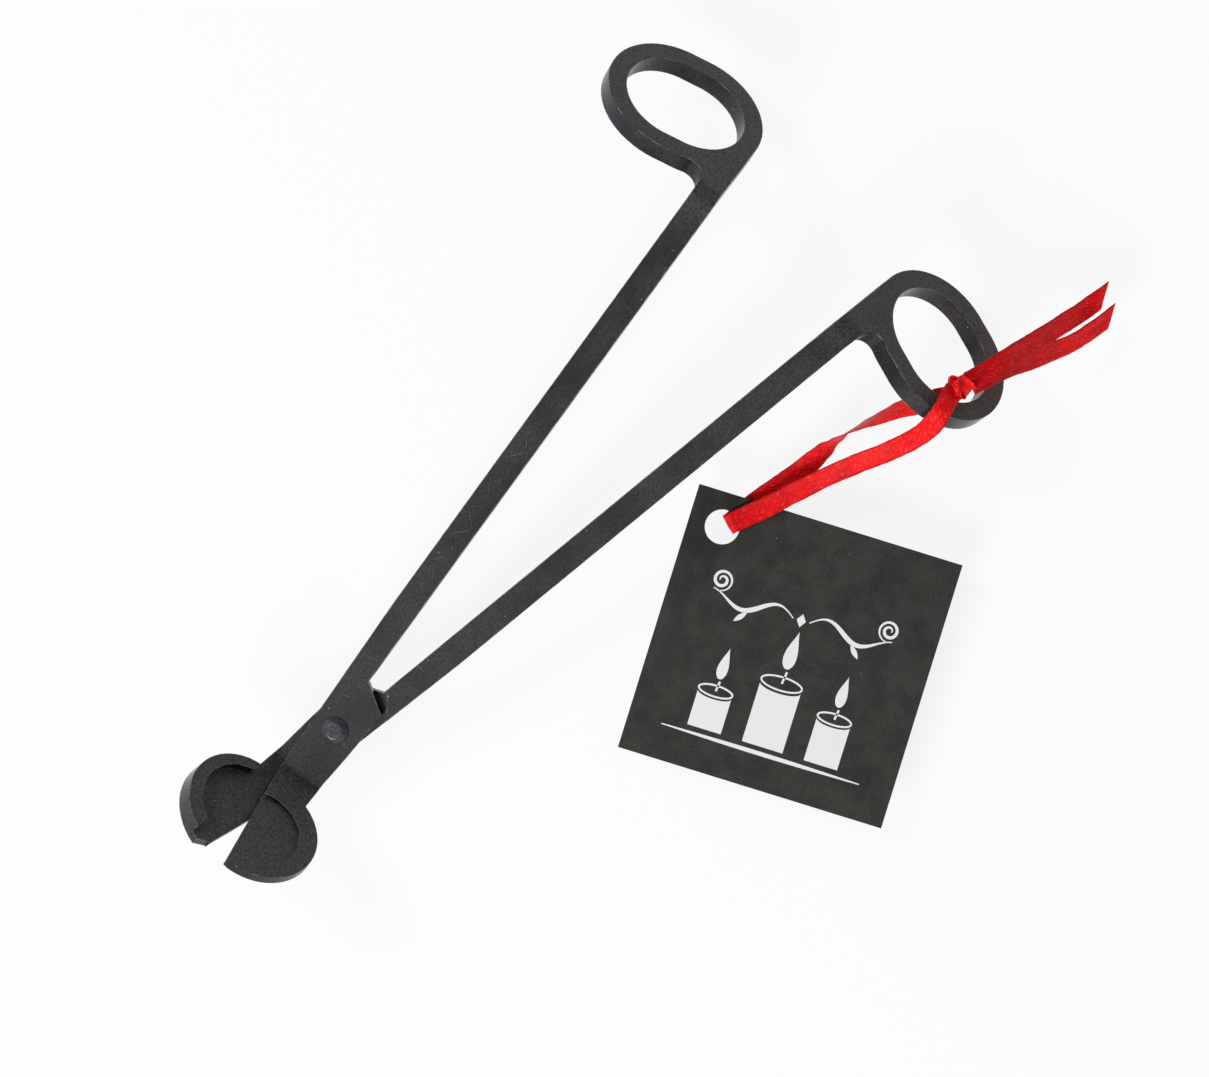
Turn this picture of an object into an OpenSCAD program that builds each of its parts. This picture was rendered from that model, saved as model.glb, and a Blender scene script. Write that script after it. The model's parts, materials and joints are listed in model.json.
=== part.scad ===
// Wick trimmer: two one-piece bent levers, half lapped on a rivet, with a card tag
// tied to the lower lever's finger ring by a ribbon.
// Row frame: +X runs from the cutting heads to the finger rings, +Y is the side of the
// upper lever's ring, +Z is up from the table that the trimmer lies on.

/* [Bar stock] */
// Thickness of the steel bar
stock_t = 3.6; // [3.2:0.1:4.4]
// Width of each arm
arm_w = 4.9; // [4.2:0.1:6.5]
// Angle of the bend at the heads
head_bend = 57.5; // [45:1:60]
// Angle of the bend at the finger rings
ring_bend = 55; // [45:1:60]
// Radius of the head bend at the lap between the levers
head_bend_r = 3; // [2.8:0.1:5]
// Radius of the ring bend at the middle of the bar
ring_bend_r = 3.3; // [2.6:0.1:6]

/* [Arms] */
// Distance from the rivet to the ring bend
arm_len = 120.4; // [90:0.1:145]
// Distance from the lever's axis to the arm's inner edge
arm_inset = 0.3; // [0.3:0.05:1]
// Distance from the rivet to where the outer edge starts to taper
taper_x = 26; // [18:1:60]

/* [Pivot] */
// Distance from the rivet to the head bend
neck_len = 10.2; // [8:0.1:14]
// Half width of the boss beside the rivet
boss_w = 5.4; // [4.6:0.1:7]
// Distance from the rivet to the crotch between boss and arm
crotch_x = 11.4; // [9:0.1:14]
// Slant of the boss edge that faces the other lever's shoulder
boss_slant = 3.7; // [2:0.1:5]
// Gap between a boss and the shoulder it closes towards
shoulder_gap = 1; // [0.5:0.1:2]
// Diameter of the rivet's shank
rivet_d = 3.2; // [2.4:0.1:4]
// Diameter of the rivet's heads
rivet_head_d = 5.6; // [4.6:0.1:7]
// Height of the rivet's upper head
rivet_head_h = 1.2; // [0.6:0.1:2]
// Radial clearance of the rivet in the lower lever
rivet_clear = 0.05; // [0.01:0.01:0.1]
// Gap between the two levers at the lap
lap_gap = 0.1; // [0.05:0.05:0.3]

/* [Heads] */
// Radius of each half-round head
head_r = 11.8; // [9:0.1:15]
// Distance from the end of the head bend to the head's centre
head_s = 15.8; // [13.5:0.1:20]
// Distance from the lever's axis to the head's centre
head_y = 0.5; // [0:0.1:1.5]
// Half width of the neck on the inner side
neck_in = 4.1; // [3.4:0.1:5.2]
// Half width of the neck on the cutting side
neck_out = 4.4; // [3.4:0.1:4.8]
// Cutting edge's offset at the tip of the upper head
upper_tip_y = 1.2; // [0.8:0.1:2.4]
// Cutting edge's offset at the tip of the lower head
lower_tip_y = 0.8; // [0.6:0.1:2.4]
// Radius of the shallow pocket in the upper head
pocket_r = 8.3; // [6:0.1:11]
// Depth of the shallow pocket in the upper head
pocket_depth = 0.7; // [0.3:0.1:0.8]
// Width of the raised wall round the tray, at its side
tray_wall = 2.5; // [1.6:0.1:4]
// How much wider the wall is at the tip
tray_wall_grow = 0.6; // [0:0.1:1]
// Distance that the wall stops short of the lever's axis, at the tip
wall_end_tip = 2.8; // [2:0.1:4]
// Chamfer on the tip of the tray's floor
tip_chamfer = 2; // [0.5:0.1:3]
// Radius of the fillets between neck and head
head_fillet = 1; // [0.5:0.1:2]

/* [Finger rings] */
// Radius of the finger hole's round ends
hole_r = 10.2; // [8:0.1:14]
// How much longer than wide the finger hole is
hole_stretch = 3.7; // [0:0.1:10]
// Width of the band round the finger hole
band_w = 3.7; // [3:0.1:6]
// Distance from the end of the ring bend to the ring's centre
ring_t = 15.3; // [14:0.1:26]
// Lean of the ring's long axis, back towards the rivet
ring_lean = 12; // [0:1:30]
// Angle by which each ring turns outwards from its arm
ring_toe = 2; // [0:0.5:5]
// Radius of the fillet between arm and ring
ring_fillet = 3; // [1:0.1:5]

/* [Pose at rest] */
// Angle between the two arms
opening = 14.2; // [2:0.1:34]

/* [Tag] */
// Side of the square card
tag_side = 52; // [40:0.5:70]
// Thickness of the card
tag_t = 0.5; // [0.3:0.1:1]
// Diameter of the punched hole
tag_hole_d = 6.6; // [6.4:0.1:9]
// Distance from the hole's centre to the card's two nearest edges
tag_hole_inset = 6.5; // [5:0.1:9]
// Direction of the card's upper edge
tag_turn = -63.8; // [-80:0.1:-50]

/* [Ribbon] */
// Width of the ribbon
ribbon_w = 4; // [3:0.5:4]
// Thickness of the ribbon
ribbon_t = 0.3; // [0.2:0.05:0.3]
// Diameter of the knot
knot_d = 5.4; // [4.5:0.1:5.6]

/* [Hidden] */
$fn = 96;
seam = 0.05;                           // overlap that joins pieces end to end
bend_steps = 12;                       // facets round each bend
bite = 0.02;                           // depth to which a curve runs into the line it is tangent to
half_t = stock_t / 2;
arm_out = arm_inset + arm_w;
head_tip = head_s + head_r;
shoulder_run = shoulder_gap / cos(atan(boss_slant / (boss_w + arm_inset)));
shoulder_x = crotch_x - boss_slant + shoulder_run;
shoulder_inner = [crotch_x + shoulder_run, arm_inset];
shoulder_outer = [shoulder_x, neck_out + (arm_out - neck_out) * (shoulder_x + neck_len) / (taper_x + neck_len)];
ring_out_r = hole_r + band_w;
lean_dir = [-sin(ring_lean), cos(ring_lean)];
ring_near = [ring_t - hole_stretch / 2 * lean_dir[0], ring_out_r - bite];
ring_far = ring_near + hole_stretch * lean_dir;
// Slope that keeps the bent half of the upper lever off the lower one as they open
relief_slope = 0.2;

// Height and reach of a point of the pivot's frame, at a given tilt of the arms
function height(x, z, tilt) = x * sin(tilt) + z * cos(tilt);
function reach(x, z, tilt) = x * cos(tilt) - z * sin(tilt);
half_open = opening / 2;
ring_start_x = arm_len * cos(half_open) - arm_inset * sin(half_open);
ring_turn = half_open + ring_toe;
// Furthest that the ring's outline goes along a direction of its own plane
function ring_support(dir) = max(ring_near * dir, ring_far * dir) + ring_out_r * norm(dir);
// Lowest point of the finger rings, whose far ends reach the table
function ring_low(tilt) =
    height(ring_start_x, -ring_bend_r, tilt)
    + (ring_bend_r - half_t) * height(sin(ring_bend) * cos(ring_turn), cos(ring_bend), tilt)
    - ring_support([-height(cos(ring_bend) * cos(ring_turn), -sin(ring_bend), tilt),
                    sin(ring_turn) * sin(tilt)]);
// Lowest point of the lower lever's head bend
function neck_low(tilt) =
    height(-neck_len * cos(half_open) - neck_out * sin(half_open), head_bend_r, tilt)
    - head_bend_r - half_t;
// Tilt at which rings and head bend touch the table together, found step by step
function settle(tilt, steps) = steps == 0 ? tilt
    : settle(tilt - atan((ring_low(tilt) - neck_low(tilt)) / (arm_len + neck_len)), steps - 1);
tilt = settle(10, 8);
pivot_z = -neck_low(tilt);

// The pivot's place midway between the furthest reach of the rings and of the heads
ring_end_x = reach(ring_start_x, -ring_bend_r, tilt)
    + (ring_bend_r + half_t) * sin(ring_bend - tilt)
    + ring_support([cos(ring_bend - tilt), -sin(ring_turn)]);
head_end_x = neck_len * cos(half_open) + head_bend_r * sin(tilt)
    + (head_bend_r + half_t) * sin(head_bend - tilt)
    + (head_s + head_r) * cos(head_bend - tilt);
pivot_x = (head_end_x - ring_end_x) / 2;

// Where the tag's hole lies, and the height of the card's underside
tag_hole = [23.6, -26.6];
tag_z = 0.65;

// Routes of the ribbon: each entry is a point and the direction across the ribbon there.
// The loop runs from the knot over the ring's band to the tag, folds through the hole,
// and comes back on the table, with a half twist, up through the ring to the knot.
loop_route = [
    [[71, -40, 20.8], [-0.2, 0.9, 0.4]], [[69, -40.4, 22], [-0.2, 0.9, 0.4]],
    [[66.5, -41, 22.6], [-0.2, 0.9, 0.4]], [[64.2, -41.4, 21.4], [0, 1, 0.3]],
    [[62.2, -41.5, 18.6], [0, 1, 0.3]], [[60, -41.1, 15.6], [0.1, 1, 0.4]],
    [[57.3, -40.2, 12.8], [0.3, 1, 0.4]], [[54.3, -39, 10.4], [0.4, 1, 0.5]],
    [[49.2, -36.6, 7.4], [0.4, 1, 0.5]], [[42.8, -33.9, 4.8], [0.4, 1, 0.5]],
    [[37, -31.8, 3.2], [0.4, 1, 0.3]], [[32, -30, 2.2], [0.4, 1, 0.1]],
    [[28, -28.4, 1.8], [0.3, 1, 0]], [[25.4, -27.4, 1.7], [0.3, 1, 0]],
    [[24.9, -27.2, 1.35], [0.3, 1, 0]], [[24.7, -27.1, 0.95], [0.3, 1, 0]],
    [[24.9, -27.2, 0.5], [0.3, 1, 0]], [[25.4, -27.3, 0.18], [0.3, 1, 0]],
    [[29, -27.7, 0.18], [0.2, 1, 0]], [[33, -28.3, 0.18], [0.2, 1, 0]],
    [[37, -29.2, 0.18], [0.2, 1, 0]], [[41, -30, 0.18], [0.1, 1, 0]],
    [[44, -30.4, 0.9], [0, 1, 0.3]], [[47, -30.6, 1.7], [0, 0.8, 0.6]],
    [[50, -30.9, 2.6], [0, 0.4, 1]], [[53, -31.6, 4.2], [-0.2, 0, 1]],
    [[56, -32.7, 6.4], [-0.3, -0.2, 1]], [[59, -34, 8.8], [-0.4, -0.4, 0.8]],
    [[62, -35.4, 11.2], [-0.4, -0.6, 0.7]], [[65, -37.2, 13.4], [-0.3, -0.8, 0.5]],
    [[67.5, -38.8, 14.4], [0, -1, 0]], [[69.8, -40, 15.4], [0.3, -0.9, 0]],
    [[71.2, -40.6, 16.8], [0.4, -0.9, 0]], [[71.8, -40.8, 18.4], [0.4, -0.9, 0]]];
upper_tail_route = [
    [[74, -41, 19.8], [0.3, 1, 0]], [[77, -42, 18.4], [0.3, 1, 0]],
    [[80, -42.8, 16.8], [0.3, 1, 0.1]], [[84, -43.8, 14.3], [0.3, 0.9, 0.3]],
    [[88, -44.9, 11.3], [0.3, 0.9, 0.4]], [[92.4, -46.1, 8.2], [0.3, 0.9, 0.5]],
    [[96, -47, 5.8], [0.2, 0.9, 0.5]], [[100, -48, 3.4], [0.2, 0.9, 0.5]],
    [[105, -49, 1.4], [0.2, 0.9, 0.5]]];
lower_tail_route = [
    [[74, -41.6, 18.6], [0.4, 1, 0]], [[77, -42.8, 16.8], [0.4, 1, 0]],
    [[80, -43.9, 14.4], [0.4, 0.9, 0.1]], [[83, -45.3, 11.8], [0.4, 0.8, 0.3]],
    [[86.5, -47.2, 8.7], [0.4, 0.8, 0.4]], [[90, -48.9, 6.2], [0.4, 0.7, 0.5]],
    [[94, -50.6, 4.2], [0.3, 0.7, 0.6]], [[98, -51.7, 2.8], [0.3, 0.7, 0.6]],
    [[103, -52.6, 1.6], [0.2, 0.7, 0.6]]];
knot_at = [72.6, -40.7, 19.6];

// Fillet, on one side of a straight edge, up to a round boss of radius r about the point c
module edge_fillet(edge_y, side, c, r, f) {
    fy = edge_y + side * (f - bite);
    fx = c[0] - sqrt(pow(r + f - bite, 2) - pow(c[1] - fy, 2));
    difference() {
        polygon([[fx, edge_y - side * f], [fx, fy], c, [c[0], edge_y - side * f]]);
        translate([fx, fy]) circle(r = f);
    }
}

// Slot-shaped oval between two points
module oval(a, b, r) {
    translate(a) circle(r = r);
    translate(b) circle(r = r);
    turn = atan2(b[1] - a[1], b[0] - a[0]);
    translate(a) rotate(turn) translate([0, bite - r]) square([norm(b - a), 2 * (r - bite)]);
}

// Plan of the boss and the neck, with the ring's side towards +Y; its tongue lies in the arm
module boss_plan() {
    polygon([[-neck_len - seam, -neck_in], [-neck_len * 0.3, -(neck_in + boss_w) / 2],
             [crotch_x - boss_slant, -boss_w], [crotch_x, arm_inset], shoulder_inner,
             [taper_x, arm_inset + arm_w / 2], shoulder_outer, [-neck_len, neck_out],
             [-neck_len - seam, neck_out]]);
}

// Plan of the arm, from the shoulder to the ring bend
module arm_plan() {
    polygon([shoulder_inner, [arm_len + seam, arm_inset], [arm_len + seam, arm_out],
             [taper_x, arm_out], shoulder_outer]);
}

// Points along an arc about a centre
function arc(c, r, from, to) = [for (i = [0:bend_steps])
    let (a = from + (to - from) * i / bend_steps) c + r * [cos(a), sin(a)]];

// Wide bent bar: flat along +X between two heights, then turning up about the height r
module bent_bar(flat, turn, r, z0, z1) {
    c = [0, r];
    along = 3 * max(head_tip, ring_far[0]) * [cos(turn), sin(turn)];
    start = turn - 90;
    rotate([90, 0, 0]) linear_extrude(8 * head_r, center = true)
        polygon(concat([[-flat, z0]], arc(c, r - z0, -90, start),
                       [c + (r - z0) * [cos(start), sin(start)] + along,
                        c + (r - z1) * [cos(start), sin(start)] + along],
                       arc(c, r - z1, start, -90), [[-flat, z1]]));
}

// Space of a bar's turn and of a run of the plate past it, between two sides
module turn_strip(turn, r, y0, y1, run) {
    past = run * [cos(turn), sin(turn)];
    translate([0, y1, r]) rotate([90, 0, 0]) linear_extrude(y1 - y0)
        polygon([[0, 0], for (a = [-1, turn / 2]) 3 * r * [sin(a), -cos(a)],
                 3 * r * [sin(turn), -cos(turn)] + past, past]);
}

// Frame of the plate past a bar's turn
module past_turn(turn, r) {
    translate([0, 0, r]) rotate([0, -turn, 0]) translate([0, 0, -r]) children();
}

// Space above and below a plan
module column() {
    linear_extrude(4 * stock_t, center = true) children();
}

// Plan of a head, with its centre on the neck's side and a straight cutting edge
module head_plan(tip_y) {
    slope = (neck_out - tip_y) / head_tip;
    intersection() {
        union() {
            translate([head_s, head_y]) circle(r = head_r);
            translate([-seam, -neck_in]) square([head_s, neck_in + neck_out]);
            edge_fillet(-neck_in, -1, [head_s, head_y], head_r, head_fillet);
        }
        polygon([[-seam, neck_out], [-seam, -2 * head_r], [2 * head_tip, -2 * head_r],
                 [2 * head_tip, neck_out - 2 * head_tip * slope]]);
    }
}

// Frame of the ring bend, with the bar running along +X and turning up
module at_ring_bend() {
    translate([arm_len, arm_inset, 0]) rotate(ring_toe) mirror([0, 0, 1]) children();
}

// Frame of the head bend, with the bar running along +X and turning up
module at_head_bend() {
    translate([-neck_len, 0, 0]) mirror([1, 0, 0]) children();
}

// Frame of a head: x is the distance from the bend, z the height above the lap
module at_head() {
    at_head_bend() past_turn(head_bend, head_bend_r) children();
}

// Arm, ring bend and finger ring, the same on both levers
module arm_and_ring() {
    intersection() {
        at_ring_bend() bent_bar(arm_len, ring_bend, ring_bend_r, -half_t, half_t);
        difference() {
            union() {
                column() arm_plan();
                at_ring_bend() {
                    turn_strip(ring_bend, ring_bend_r, 0, arm_w, ring_near[0]);
                    past_turn(ring_bend, ring_bend_r) column() {
                        oval(ring_near, ring_far, ring_out_r);
                        edge_fillet(arm_w, 1, ring_near, ring_out_r, ring_fillet);
                    }
                }
            }
            at_ring_bend() past_turn(ring_bend, ring_bend_r) column()
                oval(ring_near, ring_far, hole_r);
        }
    }
}

// Half-thickness boss, neck and head, between two heights above the lap
module half_shank(z0, z1) {
    intersection() {
        at_head_bend() bent_bar(2 * taper_x, head_bend, head_bend_r, z0, z1);
        union() {
            column() boss_plan();
            at_head_bend() turn_strip(head_bend, head_bend_r, -neck_in, neck_out, seam);
            at_head() column() children();
        }
    }
}

module in_row_frame(side) {
    translate([pivot_x, 0, pivot_z]) rotate([0, -tilt, 0]) rotate(side * half_open)
        children();
}

module upper_lever() color([0.09, 0.09, 0.1]) in_row_frame(1) difference() {
    union() {
        arm_and_ring();
        half_shank(lap_gap / 2, half_t) head_plan(upper_tip_y);
    }
    cylinder(d = rivet_d, h = 3 * stock_t, center = true);
    // Pocket, open at the cutting edge
    at_head() translate([head_s + head_fillet / 2, head_y, half_t - pocket_depth])
        cylinder(r = pocket_r, h = stock_t);
    relief();
}

// Relief under the cutting side of the bent half: along the head, and round the bend
module relief() {
    at_head() rotate([atan(relief_slope), 0, 0])
        translate([-head_bend_r, 0, lap_gap / 2 - stock_t]) cube([2 * head_tip, head_r, stock_t]);
    at_head_bend() translate([0, 0, head_bend_r]) rotate(atan(relief_slope / sin(head_bend)))
        rotate([90, 90, 0]) mirror([0, 0, 1]) rotate_extrude(angle = head_bend + 3)
            translate([head_bend_r - lap_gap / 2 + bite, 0]) square([stock_t, 2 * neck_out]);
}

module lower_lever() color([0.09, 0.09, 0.1]) in_row_frame(-1) mirror([0, 1, 0]) difference() {
    union() {
        arm_and_ring();
        half_shank(-half_t, -lap_gap / 2) difference() {
            head_plan(lower_tip_y);
            translate([head_tip - tip_chamfer, lower_tip_y]) rotate(-45)
                square([head_r, tip_chamfer * 2]);
        }
        at_head() translate([0, 0, -half_t / 2]) linear_extrude(half_t * 1.5) tray_wall_plan();
    }
    cylinder(d = rivet_d + 2 * rivet_clear, h = 3 * stock_t, center = true);
}

// Raised wall of the tray, stopping short of the other head's cutting edge
module tray_wall_plan() {
    difference() {
        translate([head_s, head_y]) circle(r = head_r);
        translate([head_s - tray_wall_grow, head_y]) circle(r = head_r - tray_wall);
        translate([0, -neck_in]) square([head_s + seam, 2 * head_r]);
        translate([head_s, -wall_end_tip]) square([2 * head_r, 2 * head_r]);
    }
}

module pivot_rivet() color([0.13, 0.13, 0.14]) in_row_frame(0) {
    head_foot = -half_t - lap_gap;
    translate([0, 0, head_foot - seam]) cylinder(d = rivet_d, h = half_t - head_foot + 2 * seam);
    translate([0, 0, half_t]) cylinder(d1 = rivet_head_d, d2 = rivet_head_d * 0.55, h = rivet_head_h);
    translate([0, 0, head_foot - half_t / 2]) cylinder(d = rivet_head_d, h = half_t / 2);
}

module hang_tag() color([0.12, 0.11, 0.1])
    translate([tag_hole[0], tag_hole[1], tag_z]) rotate(tag_turn)
        linear_extrude(tag_t) difference() {
            translate([-tag_hole_inset, tag_hole_inset - tag_side]) square(tag_side);
            circle(d = tag_hole_d);
        }

function unit(v) = v / norm(v);

// Flat tube along a route: an eight-sided section swept through every point
module ribbon(route) {
    last = len(route) - 1;
    corner = [[0.5, 0.25], [0.35, 0.5], [-0.35, 0.5], [-0.5, 0.25],
              [-0.5, -0.25], [-0.35, -0.5], [0.35, -0.5], [0.5, -0.25]];
    points = [for (i = [0:last])
        let (along = unit(route[min(i + 1, last)][0] - route[max(i - 1, 0)][0]),
             face = unit(cross(route[i][1], along)),
             across = cross(along, face))
        for (c = corner) route[i][0] + ribbon_w * c[0] * across + ribbon_t * c[1] * face];
    sides = len(corner);
    polyhedron(points, [
        [for (j = [0:sides - 1]) sides - 1 - j],
        [for (j = [0:sides - 1]) last * sides + j],
        for (i = [0:last - 1], j = [0:sides - 1])
            let (k = (j + 1) % sides, a = i * sides, b = a + sides) [a + j, a + k, b + k, b + j]]);
}

module ribbon_loop() color([0.8, 0.02, 0.06]) ribbon(loop_route);
module ribbon_tail_upper() color([0.8, 0.02, 0.06]) ribbon(upper_tail_route);
module ribbon_tail_lower() color([0.8, 0.02, 0.06]) ribbon(lower_tail_route);
module ribbon_knot() color([0.75, 0.02, 0.06]) translate(knot_at) sphere(d = knot_d);

upper_lever();
pivot_rivet();
lower_lever();
hang_tag();
ribbon_loop();
ribbon_knot();
ribbon_tail_upper();
ribbon_tail_lower();
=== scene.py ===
import bmesh
import bpy
import json
import math
from mathutils import Matrix, Vector, noise


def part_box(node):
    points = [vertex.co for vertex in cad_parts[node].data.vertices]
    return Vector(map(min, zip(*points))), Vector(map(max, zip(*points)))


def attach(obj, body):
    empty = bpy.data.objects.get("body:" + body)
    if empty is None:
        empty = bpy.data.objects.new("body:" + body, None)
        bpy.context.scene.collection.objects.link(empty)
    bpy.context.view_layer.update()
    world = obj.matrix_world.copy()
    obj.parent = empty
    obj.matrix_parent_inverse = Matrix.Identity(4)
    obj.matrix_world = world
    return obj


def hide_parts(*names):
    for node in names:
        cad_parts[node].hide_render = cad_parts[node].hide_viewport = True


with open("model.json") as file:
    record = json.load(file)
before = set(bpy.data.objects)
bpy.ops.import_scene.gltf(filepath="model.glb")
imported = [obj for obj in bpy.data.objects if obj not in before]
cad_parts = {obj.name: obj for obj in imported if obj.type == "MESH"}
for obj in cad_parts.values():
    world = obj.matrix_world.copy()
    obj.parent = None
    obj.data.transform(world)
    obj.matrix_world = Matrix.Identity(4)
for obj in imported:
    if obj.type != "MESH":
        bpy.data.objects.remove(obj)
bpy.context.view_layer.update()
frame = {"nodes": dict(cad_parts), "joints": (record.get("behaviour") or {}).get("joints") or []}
joints = {joint["name"]: joint for joint in frame["joints"]}
print("frame loaded:", len(frame["nodes"]), "nodes")


# the camera looks straight down on the table through a long lens
viewSetup = {
    "aim": (0.00674, -0.01197),    # point on the table below the lens
    "height": 0.9,
    "turn": -46.58,                # degrees about the vertical
    "lens": 141.8,
    "sensor": 36.0,
    "clip": (0.01, 20),            # nearest and furthest distance that is drawn
}


def makeCamera(setup):
    lens = bpy.data.cameras.new("camera")
    lens.lens = setup["lens"]
    lens.sensor_width = setup["sensor"]
    lens.clip_start, lens.clip_end = setup["clip"]
    camera = bpy.data.objects.new("camera", lens)
    camera.location = (*setup["aim"], setup["height"])
    camera.rotation_euler = (0, 0, math.radians(setup["turn"]))
    bpy.context.scene.collection.objects.link(camera)
    bpy.context.scene.camera = camera


makeCamera(viewSetup)
print("camera ready")


# small helpers for meshes

def addMesh(name, verts, faces, smooth=True):
    mesh = bpy.data.meshes.new(name)
    mesh.from_pydata([tuple(v) for v in verts], [], faces)
    mesh.validate()
    piece = bpy.data.objects.new(name, mesh)
    bpy.context.scene.collection.objects.link(piece)
    for face in mesh.polygons:
        face.use_smooth = smooth
    return piece


def storeStrip(mesh, values):
    # "strip" tells the satin where a point lies: metres across and along the ribbon
    layer = mesh.attributes.new("strip", "FLOAT_VECTOR", "POINT")
    for item, value in zip(layer.data, values):
        item.vector = value


def paint(piece, material):
    piece.data.materials.clear()
    piece.data.materials.append(material)


def ease(t):
    t = max(0.0, min(1.0, t))
    return t * t * (3 - 2 * t)


# small helpers for shader nodes

def shaderGroup(name, inputs, outputs):
    group = bpy.data.node_groups.new(name, "ShaderNodeTree")
    for label, kind, value in inputs:
        socket = group.interface.new_socket(label, in_out="INPUT", socket_type="NodeSocket" + kind)
        socket.default_value = value
    for label, kind in outputs:
        group.interface.new_socket(label, in_out="OUTPUT", socket_type="NodeSocket" + kind)
    start = group.nodes.new("NodeGroupInput")
    end = group.nodes.new("NodeGroupOutput")
    return group, start, end


def feed(tree, socket, value):
    # a socket of another node is linked, and anything else is set
    if isinstance(value, bpy.types.NodeSocket):
        tree.links.new(value, socket)
    else:
        socket.default_value = value


def addNode(tree, kind, settings=None, values=None):
    node = tree.nodes.new("ShaderNode" + kind)
    for key, value in (settings or {}).items():
        setattr(node, key, value)
    for key, value in (values or {}).items():
        feed(tree, node.inputs[key], value)
    return node


def calc(tree, operation, first, second=0.0, third=0.0, clamp=False):
    node = addNode(tree, "Math", {"operation": operation, "use_clamp": clamp},
                   {0: first, 1: second, 2: third})
    return node.outputs[0]


def spread(tree, value, low, high):
    # 0 at low and below, 1 at high and above, smooth between them
    node = addNode(tree, "MapRange", {"interpolation_type": "SMOOTHSTEP"},
                   {"Value": value, "From Min": low, "From Max": high, "To Min": 0.0, "To Max": 1.0})
    return node.outputs["Result"]


def addNoise(tree, place, scale, detail, roughness=0.5):
    node = addNode(tree, "TexNoise", None,
                   {"Vector": place, "Scale": scale, "Detail": detail, "Roughness": roughness})
    return node.outputs["Fac"]


def mixColour(tree, factor, first, second):
    # sockets 0, 6, 7 and 2 are a colour mix's factor, its two colours and its result
    node = addNode(tree, "Mix", {"data_type": "RGBA"}, {0: factor, 6: first, 7: second})
    return node.outputs[2]


def likeness(tree, first, second):
    # 1 where two directions agree, 0 where they are square to each other
    node = addNode(tree, "VectorMath", {"operation": "DOT_PRODUCT"}, {0: first, 1: second})
    return node.outputs["Value"]


def addBump(tree, shader, height, strength, depth):
    bump = addNode(tree, "Bump", None, {"Height": height, "Strength": strength, "Distance": depth})
    feed(tree, shader.inputs["Normal"], bump.outputs["Normal"])


def useGroup(tree, group, values):
    node = tree.nodes.new("ShaderNodeGroup")
    node.node_tree = group
    for key, value in values.items():
        feed(tree, node.inputs[key], value)
    return node


def newMaterial(name):
    material = bpy.data.materials.new(name)
    material.use_nodes = True
    tree = material.node_tree
    tree.nodes.clear()
    shader = tree.nodes.new("ShaderNodeBsdfPrincipled")
    output = tree.nodes.new("ShaderNodeOutputMaterial")
    tree.links.new(shader.outputs[0], output.inputs[0])
    return material, tree, shader


grainLook = {
    "fine": (3.0, 0.65),      # detail and roughness of the grain's noise
    "broad": (4.0, 0.55),     # the same for the patches
    "range": (0.3, 0.7),      # the noise that becomes 0 and 1
}


def makeGrainGroup(look):
    # fine grain of a sprayed coat, of card or of ink, with broader patches and a height
    group, start, end = shaderGroup(
        "fineGrain",
        [("Position", "Vector", (0, 0, 0)), ("Size", "Float", 0.0003), ("Patches", "Float", 0.006)],
        [("Grain", "Float"), ("Patch", "Float"), ("Height", "Float")])
    place = start.outputs["Position"]
    fine = addNoise(group, place, calc(group, "DIVIDE", 1.0, start.outputs["Size"]), *look["fine"])
    broad = addNoise(group, place, calc(group, "DIVIDE", 1.0, start.outputs["Patches"]), *look["broad"])
    group.links.new(spread(group, fine, *look["range"]), end.inputs["Grain"])
    group.links.new(spread(group, broad, *look["range"]), end.inputs["Patch"])
    group.links.new(fine, end.inputs["Height"])
    return group


def makeDustGroup():
    # a few pale specks: one in some of the cells, each of its own strength
    group, start, end = shaderGroup(
        "dustSpecks",
        [("Position", "Vector", (0, 0, 0)), ("Spacing", "Float", 0.003), ("Speck", "Float", 0.06),
         ("Share", "Float", 0.3)],
        [("Dust", "Float")])
    perMetre = calc(group, "DIVIDE", 1.0, start.outputs["Spacing"])
    cells = addNode(group, "TexVoronoi", None, {"Vector": start.outputs["Position"], "Scale": perMetre})
    near = calc(group, "LESS_THAN", cells.outputs["Distance"], start.outputs["Speck"])
    lucky = addNode(group, "SeparateColor", None, {"Color": cells.outputs["Color"]})
    chosen = calc(group, "LESS_THAN", lucky.outputs["Red"], start.outputs["Share"])
    strength = calc(group, "MULTIPLY", chosen, lucky.outputs["Green"])
    group.links.new(calc(group, "MULTIPLY", near, strength), end.inputs["Dust"])
    return group


edgeLook = {
    "samples": 6,
    "lean": (0.03, 0.13),     # how far the rounded normal leans where the edge wear and painted highlight start and are full
    "noise": (420.0, 5.0, 0.7),    # scale, detail and roughness of what breaks the edge wear and highlight up
    "broken": (0.42, 0.68),
}


def makeEdgeGroup(look):
    # a mask along edges: how far the rounded normal leans from the real one; it marks worn edges and a
    # painted highlight along them
    group, start, end = shaderGroup(
        "edgeWearAndPaintedHighlight",
        [("Position", "Vector", (0, 0, 0)), ("Radius", "Float", 0.0004), ("Amount", "Float", 0.5)],
        [("Edge", "Float")])
    rounded = addNode(group, "Bevel", {"samples": look["samples"]}, {"Radius": start.outputs["Radius"]})
    flat = addNode(group, "NewGeometry")
    alike = likeness(group, rounded.outputs["Normal"], flat.outputs["Normal"])
    edge = spread(group, calc(group, "SUBTRACT", 1.0, alike), *look["lean"])
    broken = spread(group, addNoise(group, start.outputs["Position"], *look["noise"]), *look["broken"])
    wearAndHighlight = calc(group, "MULTIPLY", edge, broken)
    group.links.new(calc(group, "MULTIPLY", wearAndHighlight, start.outputs["Amount"]), end.inputs["Edge"])
    return group


grainGroup = makeGrainGroup(grainLook)
dustGroup = makeDustGroup()
edgeGroup = makeEdgeGroup(edgeLook)
print("shader groups made")


# the ribbon: one strip, in a loop, a knot and two tails

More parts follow.
